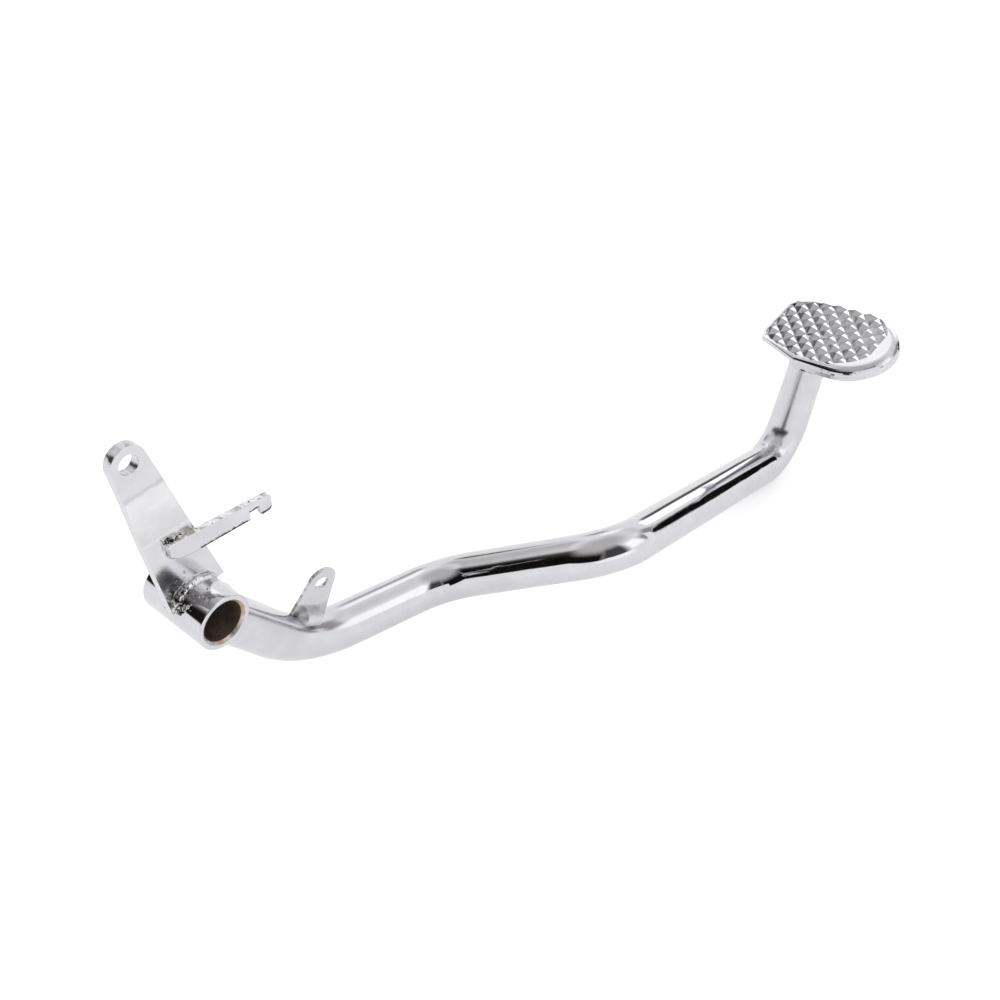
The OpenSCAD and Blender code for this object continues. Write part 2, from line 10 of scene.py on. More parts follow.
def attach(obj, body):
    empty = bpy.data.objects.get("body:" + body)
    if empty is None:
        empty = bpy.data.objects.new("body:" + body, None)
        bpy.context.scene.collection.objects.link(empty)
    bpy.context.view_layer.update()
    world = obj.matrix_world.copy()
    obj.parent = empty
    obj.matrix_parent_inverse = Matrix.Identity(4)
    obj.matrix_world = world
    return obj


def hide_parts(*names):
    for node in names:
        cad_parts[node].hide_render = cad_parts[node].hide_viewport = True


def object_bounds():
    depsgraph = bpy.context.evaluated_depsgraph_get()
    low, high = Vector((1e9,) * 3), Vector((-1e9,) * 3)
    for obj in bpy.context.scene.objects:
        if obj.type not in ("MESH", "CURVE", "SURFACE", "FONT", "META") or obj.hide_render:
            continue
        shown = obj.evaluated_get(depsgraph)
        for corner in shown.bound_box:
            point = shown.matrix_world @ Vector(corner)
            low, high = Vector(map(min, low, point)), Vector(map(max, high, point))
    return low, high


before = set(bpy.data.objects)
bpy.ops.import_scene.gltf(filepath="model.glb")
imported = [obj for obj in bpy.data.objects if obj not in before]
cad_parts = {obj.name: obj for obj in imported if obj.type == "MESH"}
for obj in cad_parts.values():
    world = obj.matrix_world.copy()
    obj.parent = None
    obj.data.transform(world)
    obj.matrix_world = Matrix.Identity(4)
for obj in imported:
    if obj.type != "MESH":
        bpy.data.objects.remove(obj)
cad_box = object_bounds()

MM = 0.001

# Sizes in millimetres, as in the solids. The pivot's axis is Y, through the origin.
SLEEVE_R, BORE_R, SLEEVE_LEN, BORE_CHAMFER = 10.5, 7.75, 30.0, 1.1
MOUTH_R = BORE_R + BORE_CHAMFER
ARM_OUT_Y, ARM_IN_Y = -1.5, 2.1
# Where the finger starts on the arm, its upper corner there, and how its top edge falls
FINGER_X, FINGER_TOP_Z, FINGER_FALL = -7, 33.4, 5.3 / 41.2
# The way that the tab's flat faces look
TAB_FACE = Vector((-0.19434, -0.97086, -0.14024))
# Corners of the tube's middle line, from the sleeve to the pad
ROUTE = [
    Vector(corner)
    for corner in (
        (0, -5.5, 0),
        (35, -5.5, -48.5),
        (100, -17.5, -55.5),
        (134.5, -77.5, -27),
        (276.5, -70, -74.5),
        (291.74, -70, -21.7),
    )
]
# Radius of each bend of that line, and of the tube itself at each corner
BENDS = (0, 48.5, 27, 21.5, 18.5)
TUBE_R = (9, 9, 9, 9, 8.7, 8.1)
# The pad from its own middle: height of its underside, height of the skirt, how far the pad
# reaches to the rear, and where the skirt ends there
PAD_UNDERSIDE, SKIRT_H, PAD_BEHIND, SKIRT_END = -2.4, 3.1, 11.1, 6.4
# Tilts of the pad round X and round Y, and the riser's lean, in degrees
PAD_TILT_X, PAD_TILT_Y, RISER_LEAN = 7.5, 8.7, 16.1
PAD_PLACE = (
    Matrix.Translation(ROUTE[5] - Vector((0, 0, PAD_UNDERSIDE)))
    @ Matrix.Rotation(math.radians(-PAD_TILT_X), 4, "X")
    @ Matrix.Rotation(math.radians(-PAD_TILT_Y), 4, "Y")
)


# Helpers for the scene and for material nodes


def put(name, data):
    thing = bpy.data.objects.new(name, data)
    bpy.context.collection.objects.link(thing)
    return thing


def finished_mesh(bm, name):
    mesh = bpy.data.meshes.new(name)
    bm.to_mesh(mesh)
    bm.free()
    return mesh


def new_material(name):
    material = bpy.data.materials.new(name)
    material.use_nodes = True
    tree = material.node_tree
    return material, tree, tree.nodes["Principled BSDF"]


def add(tree, kind, **settings):
    node = tree.nodes.new(kind)
    for key, value in settings.items():
        setattr(node, key, value)
    return node


def join(tree, out, into):
    tree.links.new(out, into)


def object_place(tree, scale=(1, 1, 1)):
    """The place on the piece, in metres, squeezed or stretched by a scale."""
    place = add(tree, "ShaderNodeTexCoord")
    mapping = add(tree, "ShaderNodeMapping")
    mapping.inputs["Scale"].default_value = scale
    join(tree, place.outputs["Object"], mapping.inputs["Vector"])
    return mapping.outputs["Vector"]


def axes(tree, vector):
    parts = add(tree, "ShaderNodeSeparateXYZ")
    join(tree, vector, parts.inputs[0])
    return parts.outputs


def noise_node(tree, vector, scale, detail, rough, distort=0.0):
    node = add(tree, "ShaderNodeTexNoise")
    node.inputs["Scale"].default_value = scale
    node.inputs["Detail"].default_value = detail
    node.inputs["Roughness"].default_value = rough
    node.inputs["Distortion"].default_value = distort
    join(tree, vector, node.inputs["Vector"])
    return node.outputs["Fac"]


def ramp(tree, value, stops):
    node = add(tree, "ShaderNodeValToRGB")
    band = node.color_ramp
    while len(band.elements) < len(stops):
        band.elements.new(0.5)
    for element, (at, colour) in zip(band.elements, stops):
        element.position = at
        element.color = (*colour, 1)
    join(tree, value, node.inputs["Fac"])
    return node.outputs["Color"]


def span(tree, value, low, high, to_low, to_high, smooth=False):
    """A value taken from one range to another, and held at its ends."""
    node = add(tree, "ShaderNodeMapRange")
    if smooth:
        node.interpolation_type = "SMOOTHSTEP"
    join(tree, value, node.inputs["Value"])
    for key, number in zip(
        ("From Min", "From Max", "To Min", "To Max"), (low, high, to_low, to_high)
    ):
        node.inputs[key].default_value = number
    return node.outputs["Result"]


def math_node(tree, operation, first, second=None):
    node = add(tree, "ShaderNodeMath", operation=operation)
    for socket, value in zip(node.inputs, (first, second)):
        if value is None:
            continue
        if isinstance(value, (int, float)):
            socket.default_value = value
        else:
            join(tree, value, socket)
    return node.outputs["Value"]


def ridge(tree, value, foot, top, fade, end, smooth=False):
    """0 up to its foot, 1 from its top to where it starts to fade, and 0 again from its end."""
    rise = span(tree, value, foot, top, 0, 1, smooth)
    return math_node(tree, "MULTIPLY", rise, span(tree, value, fade, end, 1, 0, smooth))


def blend(tree, share, first, second):
    """The first colour, with a share of the second: each is a colour or a socket."""
    node = add(tree, "ShaderNodeMix", data_type="RGBA")
    join(tree, share, node.inputs[0])
    for socket, colour in ((node.inputs[6], first), (node.inputs[7], second)):
        if isinstance(colour, tuple):
            socket.default_value = (*colour, 1)
        else:
            join(tree, colour, socket)
    return node.outputs[2]


def bump(tree, height, strength, distance, before=None):
    node = add(tree, "ShaderNodeBump")
    node.inputs["Strength"].default_value = strength
    node.inputs["Distance"].default_value = distance
    join(tree, height, node.inputs["Height"])
    if before is not None:
        join(tree, before, node.inputs["Normal"])
    return node.outputs["Normal"]


# Finishes. Grains are how many there are in a metre, and places are in metres.

CHROME = (0.675, 0.675, 0.705)
DARK_DOT = (0.1, 0.09, 0.08)
BURR = (0.05, 0.042, 0.035)
TORN_STEEL = (0.03, 0.026, 0.022)

# Painted highlights and shade across the arm, standing in for the reflections on its bent plate:
# the heights where each starts, is full, fades and ends, and how much paler it is painted. A
# painted highlight band lies under the upper crease, a painted highlight line at the lower
# crease, and a painted dark line at the upper crease.
ARM_PAINTED_BANDS = (
    (0.0400, 0.0530, 0.0565, 0.0580, 0.2),
    (0.0350, 0.0358, 0.0362, 0.0370, 0.12),
    (0.0575, 0.0583, 0.0587, 0.0600, -0.16),
)
# Lower edges of the finger with a burr: start and end along X, height at the start, and fall
# per metre. They are the long edge, the notch's upper side and the tip.
BURRED_EDGES = (
    (0.0040, 0.0247, 0.0243, 0.097),
    (0.0247, 0.0288, 0.0254, 0),
    (0.0288, 0.0345, 0.0216, 0),
)
# How far the burr's edge wanders up and down, the heights where the burr is full and gone, and
# the length over which it starts or ends
BURR_WANDER, BURR_FULL, BURR_GONE, BURR_END = 0.0012, 0.0007, 0.0012, 0.0003
# How far the arm's painted highlight and shade bands sway up and down, and how cloudy the arm is
ARM_SWAY, ARM_CLOUD = 0.006, 0.55


def metal(name, scale=(1, 1, 1)):
    """Material, nodes and shader of a metal, and the place on the piece."""
    material, tree, shader = new_material(name)
    shader.inputs["Metallic"].default_value = 1
    return material, tree, shader, object_place(tree, scale)


def polish(tree, place, wave, scratch):
    """The polisher's marks, as a normal: soft waves with fine scratches on them."""
    grain, strength = wave
    soft = bump(tree, noise_node(tree, place, grain, 2, 0.4), strength, 0.0012)
    return bump(tree, noise_node(tree, place, 520, 4, 0.55), scratch, 0.00012, soft)


def plated(name, wave=(38, 0.22), scratch=0.05, gloss=(0.035, 0.085), dull=()):
    """Chrome plate on polished steel, with a wave's grain and strength, fine scratches, and the
    least and most roughness. A dull stretch is its two ends along X, and the roughness that is
    added at each."""
    material, tree, shader, place = metal(name)
    cloud = noise_node(tree, place, 130, 4, 0.6)
    tint = ramp(
        tree, cloud, [(0.3, (0.64, 0.635, 0.66)), (0.55, CHROME), (0.75, (0.70, 0.70, 0.735))]
    )
    dots = span(tree, noise_node(tree, place, 700, 2, 0.5), 0.735, 0.78, 0, 0.6)
    join(tree, blend(tree, dots, tint, DARK_DOT), shader.inputs["Base Color"])
    rough = span(tree, cloud, 0.3, 0.7, *gloss)
    for stretch in dull:
        rough = math_node(tree, "ADD", rough, span(tree, axes(tree, place)["X"], *stretch, True))
    join(tree, rough, shader.inputs["Roughness"])
    join(tree, polish(tree, place, wave, scratch), shader.inputs["Normal"])
    return material


def burred(name, edges, **plate):
    """Plate chrome with the dark, ragged burr that the shears left along lower edges."""
    material = plated(name, **plate)
    tree = material.node_tree
    base = tree.nodes["Principled BSDF"].inputs["Base Color"]
    colour = base.links[0].from_socket
    place = object_place(tree)
    x, _, z = axes(tree, place)
    wander = noise_node(tree, place, 620, 3, 0.6)
    wander = span(tree, wander, 0, 1, -BURR_WANDER, BURR_WANDER)
    for start, end, height, fall in edges:
        drop = math_node(tree, "MULTIPLY", math_node(tree, "SUBTRACT", x, start), fall)
        above = math_node(tree, "ADD", math_node(tree, "SUBTRACT", z, height), drop)
        torn = span(tree, math_node(tree, "ADD", above, wander), BURR_FULL, BURR_GONE, 1, 0)
        along = ridge(
            tree, x, start - BURR_END, start + BURR_END, end - BURR_END, end + BURR_END
        )
        colour = blend(tree, math_node(tree, "MULTIPLY", torn, along), colour, BURR)
    join(tree, colour, base)
    return material


def arm_finish(name):
    """The arm's chrome: cloudy polish, with painted highlight bands and a painted dark line at
    heights that sway a little, which stand in for the reflections on its creases.
    """
    material, tree, shader, place = metal(name)
    cloud = noise_node(tree, place, 75, 4, 0.6)
    uneven = math_node(tree, "SUBTRACT", cloud, 0.5)
    level = math_node(
        tree, "ADD", axes(tree, place)["Z"], math_node(tree, "MULTIPLY", uneven, ARM_SWAY)
    )
    tone_and_painted_light = math_node(tree, "MULTIPLY", uneven, ARM_CLOUD)
    # Each band paints a highlight into the colour, or a dark line where its share is below zero
    for *heights, painted_light in ARM_PAINTED_BANDS:
        painted_band = ridge(tree, level, *heights, True)
        tone_and_painted_light = math_node(tree, "ADD", tone_and_painted_light, math_node(tree, "MULTIPLY", painted_band, painted_light))
    # The palest colours here come from the painted highlight bands
    tint = ramp(
        tree,
        math_node(tree, "ADD", tone_and_painted_light, 0.4),
        [(0.1, (0.52, 0.52, 0.535)), (0.4, (0.69, 0.69, 0.71)), (0.85, (0.93, 0.93, 0.94))],
    )
    join(tree, tint, shader.inputs["Base Color"])
    join(tree, span(tree, cloud, 0.3, 0.7, 0.07, 0.2), shader.inputs["Roughness"])
    join(tree, polish(tree, place, (34, 0.25), 0.15), shader.inputs["Normal"])
    return material


def sheared(name, scale=(1, 0.6, 1), torn_at=0.33):
    """Edge left by the shears: a ragged band, grey to tan, with black specks where it tore."""
    material, tree, shader, place = metal(name, scale)
    band = noise_node(tree, place, 330, 4, 0.6, 0.5)
    specks = noise_node(tree, place, 1100, 3, 0.7, 0.6)
    tint = ramp(
        tree,
        band,
        [(0.36, (0.40, 0.36, 0.31)), (0.46, (0.62, 0.60, 0.57)), (0.58, (0.84, 0.84, 0.86))],
    )
    whole = span(tree, specks, torn_at, torn_at + 0.07, 0, 1)
    join(tree, blend(tree, whole, TORN_STEEL, tint), shader.inputs["Base Color"])
    join(tree, span(tree, band, 0.35, 0.6, 0.4, 0.15), shader.inputs["Roughness"])
    join(tree, bump(tree, specks, 0.4, 0.0004), shader.inputs["Normal"])
    return material


def weld_metal(name, dark, lumpy=0.25, rough_side=None, gloss=(0.4, 0.12)):
    """Plated weld: soft lumps, with dull and dark flux pits where the plate did not take. A
    rough side is a range along X over which the pits die out."""
    material, tree, shader, place = metal(name)
    pits = noise_node(tree, place, 620, 3, 0.6, 0.8)
    if rough_side:
        clean = span(tree, axes(tree, place)["X"], *rough_side, -0.09, 0.12)
        pits = math_node(tree, "ADD", pits, clean)
    tint = ramp(
        tree,
        pits,
        [
            (dark, (0.02, 0.017, 0.015)),
            (dark + 0.06, (0.45, 0.43, 0.41)),
            (dark + 0.2, (0.7, 0.7, 0.73)),
        ],
    )
    join(tree, tint, shader.inputs["Base Color"])
    join(tree, span(tree, pits, 0.3, 0.6, *gloss), shader.inputs["Roughness"])
    lumps = bump(tree, noise_node(tree, place, 260, 2, 0.5), lumpy, 0.0008)
    join(tree, bump(tree, pits, 0.3, 0.0004, lumps), shader.inputs["Normal"])
    return material


def bore_finish(name):
    """Unplated bore: dull brown steel with the marks of the drill round it."""
    material, tree, shader = new_material(name)
    shader.inputs["Specular IOR Level"].default_value = 0.25
    marks = noise_node(tree, object_place(tree, (0.2, 1, 0.2)), 1500, 3, 0.5)
    film = noise_node(tree, object_place(tree), 160, 4, 0.6)
    tint = ramp(
        tree,
        film,
        [(0.3, (0.035, 0.026, 0.02)), (0.55, (0.085, 0.062, 0.045)), (0.75, (0.16, 0.12, 0.09))],
    )
    join(tree, tint, shader.inputs["Base Color"])
    join(tree, span(tree, film, 0.3, 0.7, 0.55, 0.8), shader.inputs["Roughness"])
    join(tree, bump(tree, marks, 0.4, 0.0003), shader.inputs["Normal"])
    return material


def rim_finish(name):
    """Chamfer inside the rim: plate on its upper side, worn to tan steel below and outwards."""
    material, tree, shader = new_material(name)
    shader.inputs["Metallic"].default_value = 0.9
    place = object_place(tree)
    x, _, z = axes(tree, place)
    low_side = span(tree, math_node(tree, "SUBTRACT", x, z), -0.004, 0.012, 0, 0.5)
    film = noise_node(tree, place, 260, 4, 0.6)
    tint = ramp(
        tree,
        math_node(tree, "ADD", low_side, math_node(tree, "MULTIPLY", film, 0.7)),
        [
            (0.35, (0.70, 0.69, 0.69)),
            (0.5, (0.60, 0.50, 0.42)),
            (0.72, (0.42, 0.31, 0.23)),
            (0.85, (0.66, 0.56, 0.48)),
        ],
    )
    join(tree, tint, shader.inputs["Base Color"])
    join(tree, span(tree, film, 0.3, 0.7, 0.2, 0.45), shader.inputs["Roughness"])
    join(tree, bump(tree, film, 0.3, 0.0003), shader.inputs["Normal"])
    return material


# The tube's knee and riser were polished less than its middle
tube_chrome = plated("tube chrome", dull=((0.045, 0.085, 0.12, 0), (0.260, 0.272, 0, 0.2)))
edge_chrome = plated("arm edge chrome", wave=(210, 0.55), scratch=0.3, gloss=(0.14, 0.3))
plate_polish = {"wave": (34, 0.22), "scratch": 0.14, "gloss": (0.07, 0.16)}
plate_chrome = plated("plate chrome", **plate_polish)
finger_chrome = burred("finger chrome", BURRED_EDGES, **plate_polish)
arm_chrome = arm_finish("arm chrome")
sleeve_chrome = plated("sleeve chrome", wave=(45, 0.12), scratch=0.06, gloss=(0.05, 0.12))
pad_chrome = plated("pad chrome", wave=(90, 0.3), scratch=0.45, gloss=(0.06, 0.14))
sheared_edge = sheared("sheared edge")
torn_edge = sheared("torn lower edge", torn_at=0.52)
sheared_tab = sheared("sheared tab edge", scale=(1, 0.5, 1))
weld_bright = weld_metal("plated weld", dark=0.25)
weld_rough = weld_metal("rough weld", dark=0.40)
weld_side = weld_metal("weld rough on one side", dark=0.36, rough_side=(-0.008, 0.001))
weld_smooth = weld_metal("smooth weld", dark=0.1, lumpy=0.35, gloss=(0.6, 0.42))
bore_steel = bore_finish("bore steel")
rim_steel = rim_finish("worn rim")


# Making pieces


def hang(bm, name, finishes, stands_for, sharp):
    """A mesh in millimetres becomes a piece of the pedal, in metres, on its one body. Edges
    that turn by more than a sharp angle, in degrees, stay sharp."""
    for face in bm.faces:
        face.smooth = True
    for edge in bm.edges:
        edge.smooth = edge.calc_face_angle(0) < math.radians(sharp)
    bmesh.ops.scale(bm, vec=(MM, MM, MM), verts=bm.verts)
    piece = put(name, finished_mesh(bm, name))
    for finish in finishes:
        piece.data.materials.append(finish)
    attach(piece, "root")
    if stands_for:
        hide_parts(*stands_for)
    return piece


def solid_copy(node):
    """The solid's mesh in millimetres, merged, with its flat faces whole again."""
    bm = bmesh.new()
    bm.from_mesh(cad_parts[node].data)
    bmesh.ops.scale(bm, vec=(1000, 1000, 1000), verts=bm.verts)
    bmesh.ops.remove_doubles(bm, verts=bm.verts, dist=0.002)
    bmesh.ops.dissolve_limit(
        bm,
        angle_limit=math.radians(0.6),
        verts=bm.verts,
        edges=bm.edges,
        use_dissolve_boundaries=False,
    )
    return bm


def soften(bm, edges, size, segments):
    """Edges rounded off, each by a number of strips."""
    bmesh.ops.bevel(
        bm,
        geom=edges,
        offset=size,
        offset_type="OFFSET",
        segments=segments,
        profile=0.5,
        affect="EDGES",
        material=-1,
        clamp_overlap=True,
    )


def roughen(verts, size, grain, seed):
    """Points pushed in and out by soft noise, with lumps as wide as its grain."""
    for vert in verts:
        vert.co += vert.normal * size * noise.noise(vert.co / grain + Vector((seed, 7, 3)))


def spread(low, high, count):
    return [low + (high - low) * i / (count - 1) for i in range(count)]


def turns(low, high, count):
    """Angles from one to another, given in degrees."""
    return [math.radians(degrees) for degrees in spread(low, high, count)]


# The lever's tube

RING_SIDES, RING_STEP, BEND_STEP_DEGREES = 96, 5, 1.2
# How deep the saddle lies in the sleeve, and how far off the sleeve the sweep starts
SADDLE_DEPTH, SWEEP_START = 0.5, 0.3
# How far the sweep runs past the last corner, how high above the pad's underside it is cut off,
# and how far round that corner the cut looks
INTO_PAD, CUT_ABOVE, CUT_REACH = 4, 0.4, 22


def corners_of(geometry):
    return [g for g in geometry if isinstance(g, bmesh.types.BMVert)]


def edges_of(geometry):
    return [g for g in geometry if isinstance(g, bmesh.types.BMEdge)]


def saddle(bm, ahead):
    """The tube's first ring, shaped to sit on the sleeve."""
    made = bmesh.ops.create_circle(bm, cap_ends=False, segments=RING_SIDES, radius=TUBE_R[0])
    facing = ahead.to_track_quat("Z", "Y").to_matrix().to_4x4()
    bmesh.ops.transform(bm, matrix=Matrix.Translation(ROUTE[0]) @ facing, verts=made["verts"])
    for vert in list(made["verts"]):
        across = vert.co.x * ahead.z - vert.co.z * ahead.x
        vert.co += ahead * math.sqrt((SLEEVE_R - SADDLE_DEPTH) ** 2 - across**2)
    return list(bm.edges)


def draw_on(bm, ring, at, goal, ahead, radius, goal_radius):
    """Straight tube from a ring to a goal, in steps. Gives its last ring and its corners."""
    length = (goal - at).dot(ahead)
    count = max(2, round(length / RING_STEP))
    for k in range(count):
        out = bmesh.ops.extrude_edge_only(bm, edges=ring)["geom"]
        verts = corners_of(out)
        new = set(verts)
        ring = [edge for edge in edges_of(out) if set(edge.verts) <= new]
        reach = at + ahead * length * (k + 1) / count
        wide = radius + (goal_radius - radius) * (k + 1) / count
        for vert in verts:
            spoke = vert.co - at - ahead * (vert.co - at).dot(ahead)
            vert.co = reach + spoke.normalized() * wide
    return ring, verts


def cut_at_pad(bm):
    """The riser cut off just above the pad's underside."""
    top = [f for f in bm.faces if (f.calc_center_median() - ROUTE[5]).length < CUT_REACH]
    near = set(top) | {e for f in top for e in f.edges} | {v for f in top for v in f.verts}
    bmesh.ops.bisect_plane(
        bm,
        geom=list(near),
        dist=0.0001,
        plane_co=PAD_PLACE @ Vector((0, 0, PAD_UNDERSIDE + CUT_ABOVE)),
        plane_no=PAD_PLACE.to_3x3() @ Vector((0, 0, 1)),
        clear_outer=True,
    )


def lever():
    """One tube, swept round its four bends from the sleeve into the pad."""
    ways = [(b - a).normalized() for a, b in zip(ROUTE, ROUTE[1:])]
    bm = bmesh.new()
    ring = saddle(bm, ways[0])
    at, radius = ROUTE[0] + ways[0] * (SLEEVE_R + SWEEP_START), TUBE_R[0]
    for i, (ahead, after) in enumerate(zip(ways, ways[1:]), 1):
        turn = ahead.angle(after)
        goal = ROUTE[i] - ahead * BENDS[i] * math.tan(turn / 2)
        ring, verts = draw_on(bm, ring, at, goal, ahead, radius, TUBE_R[i])
        radius = TUBE_R[i]
        inward = (after - ahead * ahead.dot(after)).normalized()
        bent = bmesh.ops.spin(
            bm,
            geom=ring + verts,
            cent=goal + inward * BENDS[i],
            axis=ahead.cross(inward),
            angle=turn,
            steps=max(12, round(math.degrees(turn) / BEND_STEP_DEGREES)),
            use_merge=False,
            use_duplicate=False,
        )["geom_last"]
        ring = edges_of(bent)
        at = goal + (ahead + after) * BENDS[i] * math.tan(turn / 2)
    goal = ROUTE[5] + ways[-1] * INTO_PAD
    draw_on(bm, ring, at, goal, ways[-1], radius, TUBE_R[5])
    cut_at_pad(bm)
    bmesh.ops.recalc_face_normals(bm, faces=bm.faces)
    solids = ("lever_knee", "lever_jog", "lever_stretch", "lever_riser")
    hang(bm, "lever", [tube_chrome], solids, sharp=60)


# The pivot's sleeve

SLEEVE_SIDES = 128
RIM_ROUND, LIP_ROUND = 0.55, 0.15


def from_axis(spot):
    return math.hypot(spot.x, spot.z)


def is_round(edge):
    """Whether an edge lies on a circle round the pivot's axis."""
    a, b = (vert.co for vert in edge.verts)
    return abs(a.y - b.y) < 0.01 and abs(from_axis(a) - from_axis(b)) < 0.01


def sleeve():
    """Turned sleeve: rounded outer rims, worn chamfers, unplated bore."""
    half = SLEEVE_LEN / 2
    profile = [
        (BORE_R, -half + BORE_CHAMFER),
        (MOUTH_R, -half),
        (SLEEVE_R, -half),
        (SLEEVE_R, half),
        (MOUTH_R, half),
        (BORE_R, half - BORE_CHAMFER),
    ]
    bm = bmesh.new()
    corners = [bm.verts.new((r, y, 0)) for r, y in profile]
    for a, b in zip(corners, corners[1:] + corners[:1]):
        bm.edges.new((a, b))
    bmesh.ops.spin(
        bm,
        geom=bm.verts[:] + bm.edges[:],
        cent=(0, 0, 0),
        axis=(0, 1, 0),
        angle=2 * math.pi,
        steps=SLEEVE_SIDES,
        use_merge=True,
    )
    bmesh.ops.remove_doubles(bm, verts=bm.verts, dist=0.001)
    bmesh.ops.recalc_face_normals(bm, faces=bm.faces)
    rims = [e for e in bm.edges if is_round(e) and from_axis(e.verts[0].co) > SLEEVE_R - 0.5]
    soften(bm, rims, RIM_ROUND, 4)
    lips = [
        e for e in bm.edges if is_round(e) and abs(from_axis(e.verts[0].co) - MOUTH_R) < 0.02
    ]
    soften(bm, lips, LIP_ROUND, 2)
    chrome, rim, bore = range(3)
    for face in bm.faces:
        reach = from_axis(face.calc_center_median())
        if reach < BORE_R + 0.03:
            face.material_index = bore
        elif reach < MOUTH_R - 0.12:
            face.material_index = rim
        else:
            face.material_index = chrome
    finishes = [sleeve_chrome, rim_steel, bore_steel]
    hang(bm, "pivot_sleeve_turned", finishes, ("pivot_sleeve",), sharp=40)


# The three flat plates

# Turns of a fold, from and to, and its least length; and the least turn of a corner, in degrees
FOLD_FROM, FOLD_TO, FOLD_LENGTH, CORNER_FROM = 1.5, 12, 6, 38


def plate(node, name, slot, flat_way, edge_size, finishes, crease=None):
    """A plate from its solid. Its finishes are those of its flat faces, of its sides and, if
    there is a third, of the sides that look down. Shallow folds get a soft crease."""
    bm = solid_copy(node)
    if crease:
        folds = [
            e
            for e in bm.edges
            if FOLD_FROM < math.degrees(e.calc_face_angle(0)) < FOLD_TO
            and e.calc_length() > FOLD_LENGTH
        ]
        soften(bm, folds, crease, 5)
    corners = [e for e in bm.edges if e.calc_face_angle(0) > math.radians(CORNER_FROM)]
    soften(bm, corners, edge_size, 3)
    for face in bm.faces:
        face.normal_update()
        if abs(face.normal.dot(flat_way)) < 0.5:
            face.material_index = 1
        if len(finishes) > 2 and face.normal.y < -0.2 and face.normal.z < -0.25:
            face.material_index = 2
    piece = hang(bm, name, finishes, (node,), sharp=40)
    even = piece.modifiers.new("even faces", "WEIGHTED_NORMAL")
    even.keep_sharp = True


def plates():
    side = Vector((0, 1, 0))
    arm = [arm_chrome, edge_chrome]
    plate("brake_rod_arm", "arm_plate", "arm_chrome", side, 0.9, arm, crease=2.2)
    finger = [finger_chrome, sheared_edge, torn_edge]
    plate("spring_hook_finger", "hook_finger", "finger_chrome", side, 0.3, finger)
    tab = [plate_chrome, sheared_tab]
    plate("switch_spring_tab", "spring_tab", "tab_chrome", TAB_FACE, 0.22, tab)


# Welds

# Width of a bead's lumps and of the finer ones on them
LUMP_GRAIN, FINE_GRAIN = 2.2, 0.8


def weld(name, path, leg, stands_for, finish, lump, seed, pitch=7, ripple=0.07):
    """A bead laid along a path, with lumps. Its leg ripples by a share of itself, once in so
    many points of the path."""
    run = bpy.data.curves.new(name, "CURVE")
    run.dimensions = "3D"
    run.bevel_depth = 1
    run.bevel_resolution = 8
    run.use_fill_caps = True
    spline = run.splines.new("POLY")
    spline.points.add(len(path) - 1)
    legs = run_legs(len(path), leg, pitch, ripple)
    for point, spot, leg_here in zip(spline.points, path, legs):
        point.co = (*spot, 1)
        point.radius = leg_here
    wire = put(name, run)
    shaped = wire.evaluated_get(bpy.context.evaluated_depsgraph_get())
    bm = bmesh.new()
    bm.from_mesh(bpy.data.meshes.new_from_object(shaped))
    bpy.data.objects.remove(wire)
    bmesh.ops.remove_doubles(bm, verts=bm.verts, dist=0.001)
    bmesh.ops.recalc_face_normals(bm, faces=bm.faces)
    bm.normal_update()
    roughen(bm.verts, lump, LUMP_GRAIN, seed)
    bm.normal_update()
    roughen(bm.verts, lump * 0.25, FINE_GRAIN, seed + 5)
    hang(bm, name, [finish], stands_for, sharp=80)


def run_legs(count, leg, pitch, ripple):
    """Leg along a bead: thin at its ends, a little wider at each pause of the torch."""
    return [
        leg
        * (0.3 + 0.7 * min(1, 5 * i / count, 5 * (count - 1 - i) / count))
        * (1 + ripple * math.cos(math.tau * i / pitch))
        for i in range(count)
    ]


def on_sleeve(turn, y, reach=SLEEVE_R):
    return Vector((reach * math.cos(turn), y, reach * math.sin(turn)))


def arm_welds():
    """Beads on both faces of the arm, over the sleeve's top."""
    for y, name, leg in ((ARM_OUT_Y, "arm_weld_outer", 1.9), (ARM_IN_Y, "arm_weld_inner", 2.3)):
        path = [on_sleeve(turn, y) for turn in turns(160, 34, 150)]
        weld(name + "_bead", path, leg, (name,), weld_side, 0.22, y, pitch=11, ripple=0.02)


def arm_weld_start():
    """The rough start of the arm's bead, run off along the sleeve."""
    path = [
        on_sleeve(turn, y, 10.4) for turn, y in zip(turns(158, 128, 60), spread(-3.2, -7.4, 60))
    ]
    weld("arm_weld_start", path, 1.0, (), weld_rough, 0.5, 41, pitch=13, ripple=0.2)


def spatter():
    """Drops from the torch, strewn over the sleeve near the rough start."""
    bm = bmesh.new()
    for k in range(26):
        degrees = 150 - 62 * abs(noise.noise(Vector((k * 3.7, 1, 2)))) - 12 * (k % 4)
        y = -3.4 - 6.5 * abs(noise.noise(Vector((1, k * 2.3, 5)))) - 0.9 * (k % 5)
        place = Matrix.Translation(on_sleeve(math.radians(degrees), y))
        bmesh.ops.create_icosphere(bm, subdivisions=2, radius=0.16 + 0.07 * (k % 4), matrix=place)
    hang(bm, "spatter", [weld_rough], (), sharp=80)


def lever_weld():
    """The bead round the tube's saddle on the sleeve."""
    ahead = (ROUTE[1] - ROUTE[0]).normalized()
    side = Vector((-ahead.z, 0, ahead.x))
    radius = TUBE_R[0]
    path = []
    for turn in turns(12, -192, 220):
        reach = math.sqrt(SLEEVE_R**2 - (radius * math.cos(turn)) ** 2)
        round_tube = math.cos(turn) * side - math.sin(turn) * Vector((0, 1, 0))
        path.append(ROUTE[0] + ahead * reach + radius * round_tube)
    weld("lever_weld_bead", path, 1.9, ("lever_weld",), weld_bright, 0.2, 3)


